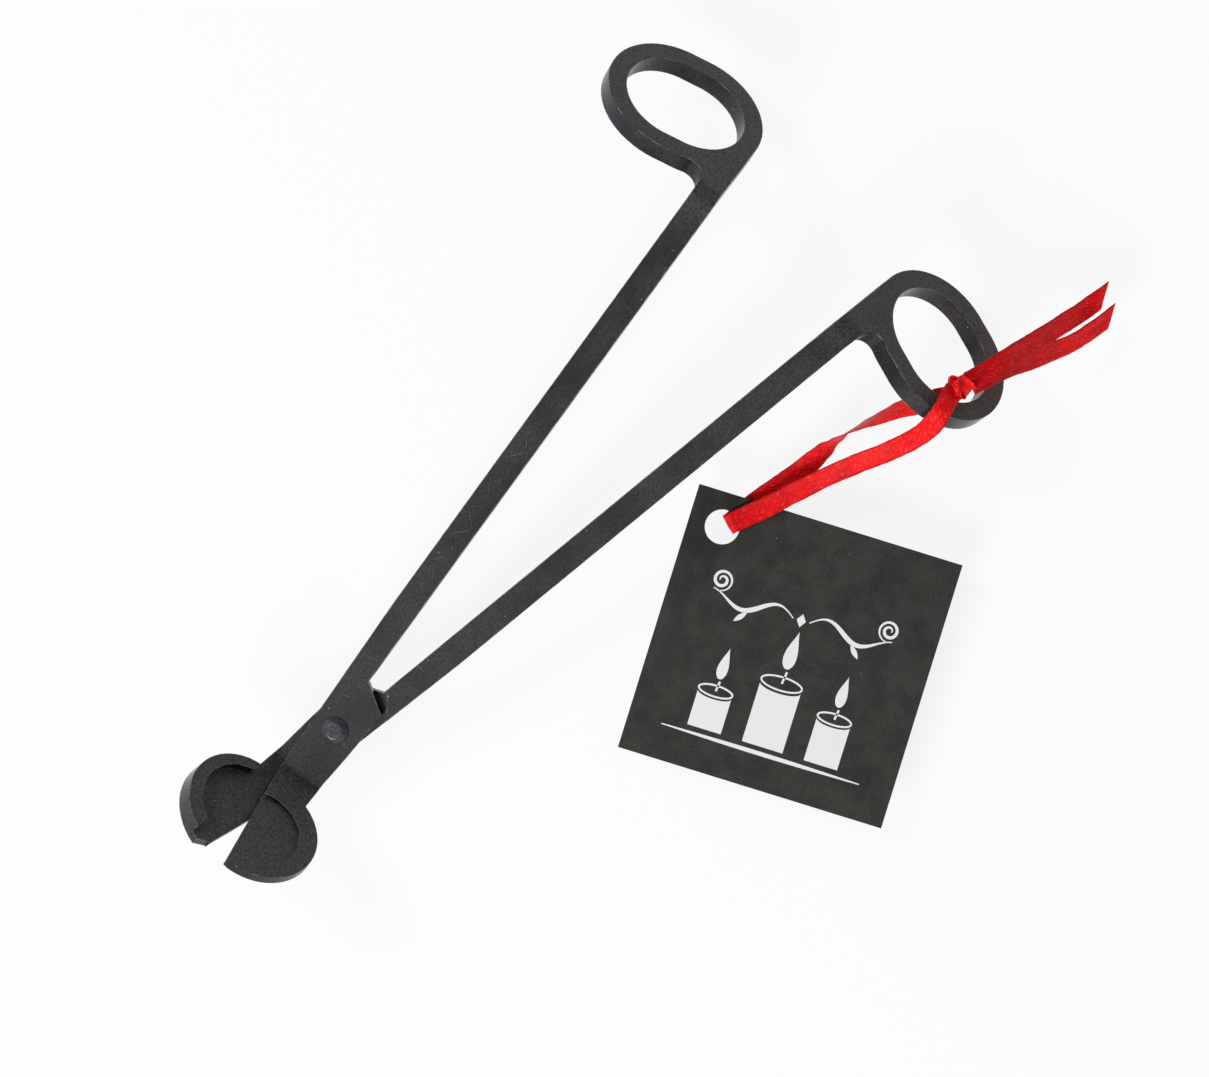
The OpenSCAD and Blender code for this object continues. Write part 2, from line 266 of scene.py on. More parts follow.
ribbonLook = {
    "width": 0.004,
    "thickness": 0.00022,
    "selvedge": 1.5,          # thickness of the woven edges, as a multiple
    "selvedgeFrom": 0.4,      # where they begin, in widths from the middle
    "selvedgeBlend": 0.08,
    "rim": 0.45,              # share of the thickness that is left at the very edge
    "edgeWave": 0.00009,      # wander of the edges
    "ripple": 0.00011,        # soft dents of the face
    "fineRipple": 0.5,        # smaller dents, as a share of the soft ones
    "waveScale": (900, 7),    # frequency along and across, of the wander and of both dents
    "rippleScale": (260, 2.2),
    "fineScale": (700, 5),
    "layers": (4, 9),         # keeps the two dents apart from the wander in the noise
    "cup": 0.00014,           # twice how far the middle stands above the edges
    "cutFrom": 0.75,          # share of a tail after which it leans towards its slanting cut
    "step": 0.0006,           # distance between rings of points
    "columns": 12,
    "lowest": 0.00002,        # keeps the ribbon off the table
}

# every route is a list of points, each with the direction across the ribbon there
loopCord = {
    "length": 0.1128,
    "exit": (0.0726, -0.0407, 0.0196),
    "farEnd": "knot",
    "standsFor": "ribbon_loop",
    "seed": 0.0,
    "route": [
        ((0.071, -0.04, 0.0208), (-0.2, 0.9, 0.4)), ((0.069, -0.0404, 0.022), (-0.2, 0.9, 0.4)),
        ((0.0665, -0.041, 0.0226), (-0.2, 0.9, 0.4)), ((0.0642, -0.0414, 0.0214), (0, 1, 0.3)),
        ((0.0622, -0.0415, 0.0186), (0, 1, 0.3)), ((0.06, -0.0411, 0.0156), (0.1, 1, 0.4)),
        ((0.0573, -0.0402, 0.0128), (0.3, 1, 0.4)), ((0.0543, -0.039, 0.0104), (0.4, 1, 0.5)),
        ((0.0492, -0.0366, 0.0074), (0.4, 1, 0.5)), ((0.0428, -0.0339, 0.0048), (0.4, 1, 0.5)),
        ((0.037, -0.0318, 0.0032), (0.4, 1, 0.3)), ((0.032, -0.03, 0.0022), (0.4, 1, 0.1)),
        ((0.028, -0.0284, 0.0018), (0.3, 1, 0)), ((0.0254, -0.0274, 0.0017), (0.3, 1, 0)),
        ((0.0249, -0.0272, 0.00135), (0.3, 1, 0)), ((0.0247, -0.0271, 0.00095), (0.3, 1, 0)),
        ((0.0249, -0.0272, 0.0005), (0.3, 1, 0)), ((0.0254, -0.0273, 0.00018), (0.3, 1, 0)),
        ((0.029, -0.0277, 0.00018), (0.2, 1, 0)), ((0.033, -0.0283, 0.00018), (0.2, 1, 0)),
        ((0.037, -0.0292, 0.00018), (0.2, 1, 0)), ((0.041, -0.03, 0.00018), (0.1, 1, 0)),
        ((0.044, -0.0304, 0.0009), (0, 1, 0.3)), ((0.047, -0.0306, 0.0017), (0, 0.8, 0.6)),
        ((0.05, -0.0309, 0.0026), (0, 0.4, 1)), ((0.053, -0.0316, 0.0042), (-0.2, 0, 1)),
        ((0.056, -0.0327, 0.0064), (-0.3, -0.2, 1)), ((0.059, -0.034, 0.0088), (-0.4, -0.4, 0.8)),
        ((0.062, -0.0354, 0.0112), (-0.4, -0.6, 0.7)), ((0.065, -0.0372, 0.0134), (-0.3, -0.8, 0.5)),
        ((0.0675, -0.0388, 0.0144), (0, -1, 0)), ((0.0698, -0.04, 0.0154), (0.3, -0.9, 0)),
        ((0.0712, -0.0406, 0.0168), (0.4, -0.9, 0)), ((0.0718, -0.0408, 0.0184), (0.4, -0.9, 0)),
    ],
}

upperTail = {
    "length": 0.0375,
    "slant": 0.0038,          # how far the cut runs back across the end
    "exit": (0.074, -0.041, 0.0198),
    "farEnd": "bare",
    "standsFor": "ribbon_tail_upper",
    "seed": 11.0,
    "route": [
        ((0.074, -0.041, 0.0198), (0.3, 1, 0)), ((0.077, -0.042, 0.0184), (0.3, 1, 0)),
        ((0.08, -0.0428, 0.0168), (0.3, 1, 0.1)), ((0.084, -0.0438, 0.0143), (0.3, 0.9, 0.3)),
        ((0.088, -0.0449, 0.0113), (0.3, 0.9, 0.4)), ((0.0924, -0.0461, 0.0082), (0.3, 0.9, 0.5)),
        ((0.096, -0.047, 0.0058), (0.2, 0.9, 0.5)), ((0.1, -0.048, 0.0034), (0.2, 0.9, 0.5)),
        ((0.105, -0.049, 0.0014), (0.2, 0.9, 0.5)),
    ],
}

lowerTail = {
    "length": 0.0365,
    "slant": 0.0034,
    "exit": (0.074, -0.0416, 0.0186),
    "farEnd": "bare",
    "standsFor": "ribbon_tail_lower",
    "seed": 23.0,
    "route": [
        ((0.074, -0.0416, 0.0186), (0.4, 1, 0)), ((0.077, -0.0428, 0.0168), (0.4, 1, 0)),
        ((0.08, -0.0439, 0.0144), (0.4, 0.9, 0.1)), ((0.083, -0.0453, 0.0118), (0.4, 0.8, 0.3)),
        ((0.0865, -0.0472, 0.0087), (0.4, 0.8, 0.4)), ((0.09, -0.0489, 0.0062), (0.4, 0.7, 0.5)),
        ((0.094, -0.0506, 0.0042), (0.3, 0.7, 0.6)), ((0.098, -0.0517, 0.0028), (0.3, 0.7, 0.6)),
        ((0.103, -0.0526, 0.0016), (0.2, 0.7, 0.6)),
    ],
}


def smoothRoute(route, step):
    # points, and directions across, spaced evenly along a curve through the route
    points = [Vector(p) for p, a in route]
    across = [Vector(a).normalized() for p, a in route]
    padded = [2 * points[0] - points[1]] + points + [2 * points[-1] - points[-2]]
    line = []
    for i in range(len(points) - 1):
        p0, p1, p2, p3 = padded[i:i + 4]
        parts = max(2, math.ceil((p2 - p1).length / step))
        for j in range(parts):
            t = j / parts
            bend = 2 * p0 - 5 * p1 + 4 * p2 - p3
            twist = 3 * p1 - p0 - 3 * p2 + p3
            spot = 0.5 * (2 * p1 + (p2 - p0) * t + bend * t * t + twist * t ** 3)
            line.append((spot, across[i].lerp(across[i + 1], ease(t)).normalized()))
    line.append((points[-1], across[-1]))
    return line


def stripNoise(along, across, scale, layer):
    return noise.noise(Vector((along * scale[0], across * scale[1], layer)))


def sweepRibbon(name, line, look, width, slant=0.0, closed=False, seed=0.0):
    # a closed flat tube with woven edges: u runs from -0.5 to 0.5 over its top, and back below
    columns = look["columns"]
    softLayer, fineLayer = look["layers"]
    verts = []
    strip = []
    along = 0.0
    last = len(line) - 1
    for i, (spot, sideways) in enumerate(line):
        ahead = line[(i + 1) % (last + 1)][0] if closed else line[min(i + 1, last)][0]
        behind = line[i - 1][0] if closed or i else line[0][0]
        forward = (ahead - behind).normalized()
        face = sideways.cross(forward).normalized()
        side = forward.cross(face).normalized()
        along += (spot - line[i - 1][0]).length if i else 0.0
        leaning = ease((i / last - look["cutFrom"]) / (1 - look["cutFrom"]))
        for top in (1, -1):
            for k in range(columns + 1):
                u = (k / columns - 0.5) * top
                edge = ease((abs(u) - look["selvedgeFrom"]) / look["selvedgeBlend"])
                thick = look["thickness"] / 2 * (1 + (look["selvedge"] - 1) * edge)
                thick *= look["rim"] if abs(u) == 0.5 else 1.0
                wander = look["edgeWave"] * stripNoise(along, u, look["waveScale"], seed)
                dent = look["ripple"] * stripNoise(along, u, look["rippleScale"], seed + softLayer)
                fine = stripNoise(along, u, look["fineScale"], seed + fineLayer)
                dent += look["ripple"] * look["fineRipple"] * fine
                lift = look["cup"] * (0.25 - u * u) * 2 + dent
                place = spot + side * (u * width + wander * abs(2 * u)) + face * (lift + top * thick)
                place -= forward * (-u * slant * leaning)
                place.z = max(place.z, look["lowest"])
                verts.append(place)
                strip.append((u * width, along, 0.0))
    ring = 2 * (columns + 1)
    faces = []
    for i in range(last + 1 if closed else last):
        a = i * ring
        b = (i + 1) % (last + 1) * ring
        faces += [(a + k, b + k, b + (k + 1) % ring, a + (k + 1) % ring) for k in range(ring)]
    if not closed:
        faces.append(tuple(range(ring)))
        faces.append(tuple(last * ring + k for k in reversed(range(ring))))
    piece = addMesh(name, verts, faces)
    storeStrip(piece.data, strip)
    return piece


def makeRibbonCord(name, cord, look):
    line = smoothRoute(cord["route"], look["step"])
    piece = sweepRibbon(name, line, look, look["width"], slant=cord.get("slant", 0.0), seed=cord["seed"])
    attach(piece, "lower")
    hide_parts(cord["standsFor"])
    run = sum((b[0] - a[0]).length for a, b in zip(line, line[1:]))
    print(name, "is", round(run * 1000, 1), "mm long")
    return piece


knotLook = {
    "centre": (0.0726, -0.0407, 0.0196),
    "along": (0.72, -0.28, -0.30),    # the way the ribbon leaves the knot
    "core": (0.0021, 0.0017, 0.0016),
    "coreSteps": 5,
    "creases": [(0.12, 2.6), (0.05, 7)],    # depth and frequency, broad and fine
    # each wrap: place along, tilt in degrees, spin in degrees, radius, width
    "wraps": [(-0.0006, 24, 10, 0.00205, 0.0026), (0.0007, -30, 70, 0.00195, 0.0024),
              (0.0001, 62, -35, 0.0021, 0.0020)],
    "points": 56,             # round each wrap
    "swell": 0.07,            # three soft corners, as a share of the radius
    "drift": 0.0003,          # how far a wrap snakes along the knot
    "flatness": 0.86,
    "lean": (0.25, 0.2),      # how much a wrap's face rocks as it goes round
    "pleat": 0.00016,
    "cup": 0.0005,
}


def knotWrap(look, number, place):
    # one tight turn of the ribbon, as points with directions across
    shift, tilt, spin, radius, width = look["wraps"][number]
    turn = Matrix.Rotation(math.radians(spin), 3, "X") @ Matrix.Rotation(math.radians(tilt), 3, "Z")
    line = []
    for i in range(look["points"]):
        angle = 2 * math.pi * i / look["points"]
        swell = radius * (1 + look["swell"] * math.sin(3 * angle + number))
        spot = Vector((shift + look["drift"] * math.sin(2 * angle), swell * math.cos(angle),
                       look["flatness"] * swell * math.sin(angle)))
        rockAlong, rockUp = look["lean"]
        lean = Vector((1, rockAlong * math.sin(angle * 2 + number), rockUp * math.cos(angle)))
        line.append((Vector(look["centre"]) + place @ (turn @ spot), (place @ (turn @ lean)).normalized()))
    wrapLook = dict(ribbonLook, ripple=look["pleat"], cup=look["cup"])
    return sweepRibbon("wrap", line, wrapLook, width, closed=True, seed=3.0 * number)


def knotCore(look, place):
    core = bmesh.new()
    bmesh.ops.create_icosphere(core, subdivisions=look["coreSteps"], radius=1.0)
    for vert in core.verts:
        crease = 1
        for depth, frequency in look["creases"]:
            crease += depth * noise.noise(vert.co * frequency)
        spot = Vector([a * b for a, b in zip(vert.co, look["core"])]) * crease
        vert.co = Vector(look["centre"]) + place @ spot
    mesh = bpy.data.meshes.new("core")
    core.to_mesh(mesh)
    core.free()
    storeStrip(mesh, [(vert.co.z, vert.co.x, 0.0) for vert in mesh.vertices])
    mesh.polygons.foreach_set("use_smooth", [True] * len(mesh.polygons))
    return mesh


def makeKnot(look):
    # a crumpled core with tight wraps of the ribbon round it
    along = Vector(look["along"]).normalized()
    side = along.cross(Vector((0, 0, 1))).normalized()
    place = Matrix((along, side, along.cross(side))).transposed()
    wraps = [knotWrap(look, number, place) for number in range(len(look["wraps"]))]
    knot = bpy.data.objects.new("knot", knotCore(look, place))
    bpy.context.scene.collection.objects.link(knot)
    with bpy.context.temp_override(active_object=knot, selected_editable_objects=[knot] + wraps):
        bpy.ops.object.join()
    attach(knot, "lower")
    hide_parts("ribbon_knot")
    return knot


knot = makeKnot(knotLook)
loop = makeRibbonCord("loop", loopCord, ribbonLook)
tailUpper = makeRibbonCord("tail_upper", upperTail, ribbonLook)
tailLower = makeRibbonCord("tail_lower", lowerTail, ribbonLook)
print("ribbon made")


satinLook = {
    # the red as lit and as in shade: painted light and shade
    "litRed": (0.92, 0.005, 0.009, 1),
    "shadedRed": (0.42, 0.0, 0.003, 1),
    # colour of the painted glints on the flecks
    "glint": (1.0, 0.20, 0.15, 1),
    "threads": 0.00036,       # distance between the lengthwise threads
    # how much painted shade darkens the red between threads
    "grooveShade": 0.5,
    "threadHeight": 0.5,
    "fleckSize": 0.00075,
    "fleckLean": 0.45,        # flecks slant by this much across for each metre along
    "fleckStretch": (2.6, 0.75),
    "glintRange": (0.54, 0.7),
    "glintTint": 0.3,
    "shadeScale": 260.0,      # broad painted light and shade, from the shaded red to the lit red
    "shadeRange": (0.05, 0.6),
    "detail": 2.0,            # of the noise for both flecks and shade
    "selvedge": (0.0016, 0.0019),    # where the woven edge begins and is full
    "stitchScale": 2600.0,
    "stitchRange": (0.2, 0.45),
    "stitchTint": 0.6,
    "stitchHeight": 0.8,
    "roughness": (0.36, 0.14),       # least, and how much the parts painted lit add
    "anisotropy": 0.5,
    "specular": 0.22,
    "sheenTint": (1, 0.55, 0.5, 1),
    "bump": (0.6, 0.00006),          # strength and depth
}


def makeSatin(look):
    material, tree, shader = newMaterial("red satin ribbon")
    strip = addNode(tree, "Attribute", {"attribute_name": "strip", "attribute_type": "GEOMETRY"})
    place = strip.outputs["Vector"]
    parts = addNode(tree, "SeparateXYZ", None, {"Vector": place})
    across = parts.outputs["X"]
    along = parts.outputs["Y"]
    # lengthwise threads, with painted shade between them
    phase = calc(tree, "MULTIPLY", across, 2 * math.pi / look["threads"])
    threads = calc(tree, "MULTIPLY_ADD", calc(tree, "SINE", phase), 0.5, 0.5)
    # short slanting flecks, where the satin floats catch the light: painted glints, which also give a bump
    sideStretch, longStretch = look["fleckStretch"]
    leaning = calc(tree, "MULTIPLY_ADD", along, look["fleckLean"], across)
    slanted = addNode(tree, "CombineXYZ", None, {"X": calc(tree, "MULTIPLY", leaning, sideStretch),
                                                 "Y": calc(tree, "MULTIPLY", along, longStretch)})
    flecks = addNoise(tree, slanted.outputs[0], 1 / look["fleckSize"], look["detail"])
    glintMask = spread(tree, flecks, *look["glintRange"])
    # painted light and shade: a broad noise blends the shaded red into the lit red
    broad = addNoise(tree, place, look["shadeScale"], look["detail"])
    shade = spread(tree, broad, *look["shadeRange"])
    # the woven edges carry small stitches
    edge = spread(tree, calc(tree, "ABSOLUTE", across), *look["selvedge"])
    cells = addNode(tree, "TexVoronoi", None, {"Vector": place, "Scale": look["stitchScale"]})
    stitches = calc(tree, "MULTIPLY", edge, spread(tree, cells.outputs["Distance"], *look["stitchRange"]))
    body = mixColour(tree, shade, look["shadedRed"], look["litRed"])
    grooveShaded = mixColour(tree, calc(tree, "MULTIPLY", threads, look["grooveShade"]), body, look["shadedRed"])
    glinted = mixColour(tree, calc(tree, "MULTIPLY", glintMask, look["glintTint"]), grooveShaded, look["glint"])
    finished = mixColour(tree, calc(tree, "MULTIPLY", stitches, look["stitchTint"]), glinted, look["shadedRed"])
    feed(tree, shader.inputs["Base Color"], finished)
    least, more = look["roughness"]
    feed(tree, shader.inputs["Roughness"], calc(tree, "MULTIPLY_ADD", shade, more, least))
    shader.inputs["Anisotropic"].default_value = look["anisotropy"]
    shader.inputs["Specular IOR Level"].default_value = look["specular"]
    shader.inputs["Specular Tint"].default_value = look["sheenTint"]
    weave = calc(tree, "ADD", calc(tree, "MULTIPLY", threads, look["threadHeight"]),
                 calc(tree, "MULTIPLY", stitches, look["stitchHeight"]))
    addBump(tree, shader, calc(tree, "ADD", weave, flecks), *look["bump"])
    return material


satin = makeSatin(satinLook)
for piece in (knot, loop, tailUpper, tailLower):
    paint(piece, satin)
print("ribbon painted")


# the levers and the rivet keep their shapes and get soft edges and a coat

steelLook = {
    "mergeGap": 1e-6,
    "rounding": 0.00028,      # radius of the softened edges
    "flatAngle": 0.6,         # faces within this many degrees are joined first
    "sharpAngle": 30,
    "steps": 3,
}


def softenEdges(piece, look):
    # joins the split vertices, merges flat faces and rounds the sharp edges
    weld = piece.modifiers.new("weld", "WELD")
    weld.merge_threshold = look["mergeGap"]
    flat = piece.modifiers.new("flat", "DECIMATE")
    flat.decimate_type = "DISSOLVE"
    flat.angle_limit = math.radians(look["flatAngle"])
    bevel = piece.modifiers.new("rounding", "BEVEL")
    bevel.width = look["rounding"]
    bevel.segments = look["steps"]
    bevel.limit_method = "ANGLE"
    bevel.angle_limit = math.radians(look["sharpAngle"])
    bevel.use_clamp_overlap = True
    bevel.harden_normals = True
    weighted = piece.modifiers.new("shading", "WEIGHTED_NORMAL")
    weighted.keep_sharp = True
    for face in piece.data.polygons:
        face.use_smooth = True


coatLook = {
    "arm": (0.0075, 0.0080, 0.0095, 1),
    # the bent ends are lighter than the arm: painted light, for the brighter look of the bent ends
    "ring": (0.041, 0.039, 0.035, 1),
    "head": (0.049, 0.047, 0.044, 1),
    # side walls: painted shade and a painted bluish sheen
    "wall": (0.004, 0.0048, 0.0095, 1),
    # pale colour of worn edges and scratches, and of a painted highlight along the edges
    "wearAndHighlight": (0.30, 0.30, 0.31, 1),
    "dust": (0.55, 0.54, 0.5, 1),
    "ringFrom": (0.056, 0.068),      # where along X the ring's lighter, browner colour takes over from the arm's
    "headFrom": (-0.058, -0.070),    # and where the head's does
    "armNormal": (-0.168, 0, 0.986),
    "endNormal": (0.72, 0, 0.69),
    "wallFrom": (0.45, 0.2),         # likeness to those directions where a side wall starts and is full
    "wallGloss": 0.24,               # how much smoother the side walls are
    "grain": 0.00042,
    "speckle": (1.5, 0.3),           # how much the grain lights up, and what is left in its pits
    "patches": 0.011,
    "patchTint": 0.25,
    "patchLift": 1.7,
    "scratches": (85.0, 0.003),      # frequency and width
    "scratchSpots": 170.0,
    "scratchRange": (0.66, 0.72),
    "scratchTint": 0.2,
    "dustSpacing": 0.0024,
    "dustSpeck": 0.06,
    "dustShare": 0.5,
    "dustTint": 0.6,
    "edgeRadius": 0.0004,
    # strength of the edge wear and painted highlight
    "edgeWearAndHighlight": 0.8,
    "wearGloss": 0.15,
    "roughness": (0.42, 0.58),
    "specular": 0.36,
    "patchHeight": 0.3,
    "bump": (0.5, 0.00006),
}


def objectNormal(tree):
    # the surface's direction in the piece's own frame, so that it turns with the piece
    world = addNode(tree, "NewGeometry").outputs["Normal"]
    turned = addNode(tree, "VectorTransform", {"vector_type": "NORMAL", "convert_from": "WORLD",
                                               "convert_to": "OBJECT"}, {"Vector": world})
    return turned.outputs["Vector"]


def scratchMask(tree, place, look):
    # short curved hairlines: where a slow noise crosses its middle, in rare spots
    frequency, width = look["scratches"]
    slow = addNoise(tree, place, frequency, 0.0)
    rare = addNoise(tree, place, look["scratchSpots"], 0.0)
    middle = calc(tree, "ABSOLUTE", calc(tree, "SUBTRACT", slow, 0.5))
    return calc(tree, "MULTIPLY", calc(tree, "LESS_THAN", middle, width),
                spread(tree, rare, *look["scratchRange"]))


def makeCoatedSteel(name, look):
    material, tree, shader = newMaterial(name)
    place = addNode(tree, "TexCoord").outputs["Object"]
    grain = useGroup(tree, grainGroup, {"Position": place, "Size": look["grain"], "Patches": look["patches"]})
    dust = useGroup(tree, dustGroup, {"Position": place, "Spacing": look["dustSpacing"],
                                      "Speck": look["dustSpeck"], "Share": look["dustShare"]})
    edge = useGroup(tree, edgeGroup, {"Position": place, "Radius": look["edgeRadius"],
                                      "Amount": look["edgeWearAndHighlight"]}).outputs["Edge"]
    patch = grain.outputs["Patch"]
    # the arms are dark and bluish, and the bent ends lighter and browner: their extra lightness is painted
    # light
    alongLever = addNode(tree, "SeparateXYZ", None, {"Vector": place}).outputs["X"]
    towardsRing = spread(tree, alongLever, *look["ringFrom"])
    towardsHead = spread(tree, alongLever, *look["headFrom"])
    ends = calc(tree, "ADD", towardsRing, towardsHead, clamp=True)
    base = mixColour(tree, towardsRing, look["arm"], look["ring"])
    base = mixColour(tree, towardsHead, base, look["head"])
    # side walls stand square to the plate they belong to: they are smoother, and painted darker and bluish,
    # as painted shade and a painted bluish sheen
    plate = addNode(tree, "Mix", {"data_type": "VECTOR"},
                    {0: ends, 4: look["armNormal"], 5: look["endNormal"]})
    facing = likeness(tree, objectNormal(tree), plate.outputs[1])
    walls = spread(tree, calc(tree, "ABSOLUTE", facing), *look["wallFrom"])
    body = mixColour(tree, walls, base, look["wall"])
    lighter = [min(1.0, c * look["patchLift"]) for c in look["ring"][:3]] + [1]
    mottled = mixColour(tree, calc(tree, "MULTIPLY", patch, look["patchTint"]), body, lighter)
    speckle = calc(tree, "MULTIPLY_ADD", grain.outputs["Grain"], *look["speckle"])
    grainy = addNode(tree, "VectorMath", {"operation": "SCALE"}, {0: mottled, "Scale": speckle})
    scratches = calc(tree, "MULTIPLY", scratchMask(tree, place, look), look["scratchTint"])
    marked = mixColour(tree, scratches, grainy.outputs["Vector"], look["wearAndHighlight"])
    # edges: worn paint, and a painted highlight along them
    edgesWornAndLit = mixColour(tree, edge, marked, look["wearAndHighlight"])
    specks = calc(tree, "MULTIPLY", dust.outputs["Dust"], look["dustTint"])
    dusty = mixColour(tree, specks, edgesWornAndLit, look["dust"])
    feed(tree, shader.inputs["Base Color"], dusty)
    low, high = look["roughness"]
    rough = calc(tree, "MULTIPLY_ADD", patch, high - low, low)
    smoother = calc(tree, "MULTIPLY_ADD", walls, -look["wallGloss"], rough)
    feed(tree, shader.inputs["Roughness"], calc(tree, "MULTIPLY_ADD", edge, -look["wearGloss"], smoother))
    shader.inputs["Specular IOR Level"].default_value = look["specular"]
    height = calc(tree, "MULTIPLY_ADD", patch, look["patchHeight"], grain.outputs["Height"])
    addBump(tree, shader, height, *look["bump"])
    return material


rivetLook = dict(coatLook, arm=(0.038, 0.039, 0.044, 1), roughness=(0.3, 0.4), edgeWearAndHighlight=0.35, specular=0.432)
reliefLook = dict(coatLook, arm=(0.02, 0.02, 0.022, 1), edgeWearAndHighlight=0.3)

coatedSteel = makeCoatedSteel("matte coated steel", coatLook)
rivetSteel = makeCoatedSteel("blackened rivet steel", rivetLook)
for name, steel in (("upper_lever", coatedSteel), ("lower_lever", coatedSteel), ("pivot_rivet", rivetSteel)):
    softenEdges(frame["nodes"][name], steelLook)
    paint(frame["nodes"][name], steel)
print("levers and rivet finished")


# a plain wave ornament in low relief along the upper arm

waveLook = {
    "from": 0.030,            # distances from the rivet along the arm
    "to": 0.072,
    "across": 0.00275,        # middle of the arm, from the lever's axis
    "swing": 0.0011,
    "waves": 7,
    "steps": 24,              # points along each wave
    "line": 0.00045,
    "thin": 0.35,             # share of the line's width that is left at a crest
    "least": 0.00002,         # half the width that is left at the ends
    "relief": 0.00006,
    "crown": 0.5,             # width of the line's top, as a share of its foot
    "sunk": 0.00005,          # how far the foot goes into the arm
    "top": 0.0018,            # half the bar's thickness
    "opening": 7.1,           # degrees between the arm and the middle of the trimmer
}


def makeWave(look):
    pivot = joints["lever_pivot"]
    tilt = math.asin(-pivot["axis"][0])
    stand = Matrix.Translation(Vector(pivot["pos_m"])) @ Matrix.Rotation(-tilt, 4, "Y")
    stand = stand @ Matrix.Rotation(math.radians(look["opening"]), 4, "Z")
    verts = []
    faces = []
    count = look["waves"] * look["steps"]
    for i in range(count + 1):
        t = i / count
        angle = 2 * math.pi * look["waves"] * t
        x = look["from"] + (look["to"] - look["from"]) * t
        fade = math.sin(math.pi * t) ** 0.5
        y = look["across"] + look["swing"] * fade * math.sin(angle)
        body = look["thin"] + (1 - look["thin"]) * abs(math.cos(angle))
        half = look["line"] / 2 * body * fade + look["least"]
        crown = half * look["crown"]
        section = [(half, -look["sunk"]), (crown, look["relief"]),
                   (-crown, look["relief"]), (-half, -look["sunk"])]
        verts += [stand @ Vector((x, y + aside, look["top"] + up)) for aside, up in section]
    sides = len(section)
    for a in range(0, sides * count, sides):
        b = a + sides
        faces += [(a + k, a + (k + 1) % sides, b + (k + 1) % sides, b + k) for k in range(sides)]
    faces += [tuple(reversed(range(sides))), tuple(sides * count + k for k in range(sides))]
    return addMesh("arm_wave", verts, faces)


armWave = makeWave(waveLook)
paint(armWave, makeCoatedSteel("relief on the coat", reliefLook))
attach(armWave, "upper")
print("wave ornament made")


# the tag: matte black card with a pale print

cardLook = {
    "face": (0.010, 0.0095, 0.0075, 1),
    "fibre": (0.045, 0.042, 0.034, 1),
    "cutEdge": (0.10, 0.095, 0.085, 1),
    "dust": (0.5, 0.5, 0.48, 1),
    "grain": 0.0004,
    "grainTint": 0.5,
    "patches": 0.004,
    "patchTint": 0.2,
    "dustSpacing": 0.0035,
    "dustSpeck": 0.05,
    "dustShare": 0.5,
    "dustTint": 0.35,
    "uprightFrom": (0.7, 0.3),       # likeness to straight up where the cut edge starts and is full
    "roughness": (0.62, 0.1),        # least, and how much the patches add
    "specular": 0.35,
    "bump": (0.2, 0.00004),
}


def makeCard(look):
    material, tree, shader = newMaterial("black card")
    place = addNode(tree, "TexCoord").outputs["Object"]
    grain = useGroup(tree, grainGroup, {"Position": place, "Size": look["grain"], "Patches": look["patches"]})
    dust = useGroup(tree, dustGroup, {"Position": place, "Spacing": look["dustSpacing"],
                                      "Speck": look["dustSpeck"], "Share": look["dustShare"]})
    fibres = calc(tree, "MULTIPLY", grain.outputs["Grain"], look["grainTint"])
    patches = calc(tree, "MULTIPLY", grain.outputs["Patch"], look["patchTint"])
    specks = calc(tree, "MULTIPLY", dust.outputs["Dust"], look["dustTint"])
    speckled = mixColour(tree, fibres, look["face"], look["fibre"])
    patched = mixColour(tree, patches, speckled, look["cutEdge"])
    dusty = mixColour(tree, specks, patched, look["dust"])
    # the cut edges show paler fibres
    flat = addNode(tree, "NewGeometry").outputs["True Normal"]
    lookingUp = addNode(tree, "SeparateXYZ", None, {"Vector": flat}).outputs["Z"]
    upright = spread(tree, calc(tree, "ABSOLUTE", lookingUp), *look["uprightFrom"])
    feed(tree, shader.inputs["Base Color"], mixColour(tree, upright, dusty, look["cutEdge"]))
    least, more = look["roughness"]
    feed(tree, shader.inputs["Roughness"], calc(tree, "MULTIPLY_ADD", grain.outputs["Patch"], more, least))
    shader.inputs["Specular IOR Level"].default_value = look["specular"]
    addBump(tree, shader, grain.outputs["Height"], *look["bump"])
    return material


paint(frame["nodes"]["hang_tag"], makeCard(cardLook))

# the print's own frame starts at the tag's hole, with x along the card's upper edge and y up
printLook = {
    "turn": -63.8,            # degrees from +X to the card's upper edge
    "ink": 0.00003,           # thickness of the ink
    "gap": 0.00001,           # between ink and card
    "middle": (0.0195, -0.029),
    "foot": 0.0085,           # how far below the middle the candles stand
    # each candle: place beside the middle, width, height
    "candles": [(0, 0.0080, 0.0125), (-0.0115, 0.0066, 0.0075), (0.0115, 0.0066, 0.0090)],
    "shelf": (0.0195, 0.0098),       # half its length, and how far below the middle it lies
    "shelfLine": (0.0002, 0.0006),   # a stroke's least width, and what its middle adds
    "shelfPoints": 21,
    "scrollHeight": -0.0125,
    "scrollReach": 0.0205,
}

candleLook = {
    "rim": 0.16,              # half the height of the melt's oval, as a share of the width
    "shoulder": (0.9, 0.6),   # how round the body's top is, and how far it stays below the melt
    "meltLine": 0.00035,
    "wickLine": 0.0004,
    "wick": [(0, 0), (0.02, 0.16), (0.04, 0.3)],
    "flame": (0.36, 0.4, 0.95),      # foot above the melt, width and height, as shares of the width
    "flameLean": 0.12,
    "flamePoint": 1.6,        # how sharply the flame is drawn to its point
    "flamePoints": 40,
    "shoulderPoints": 17,
    "meltPoints": 41,
}

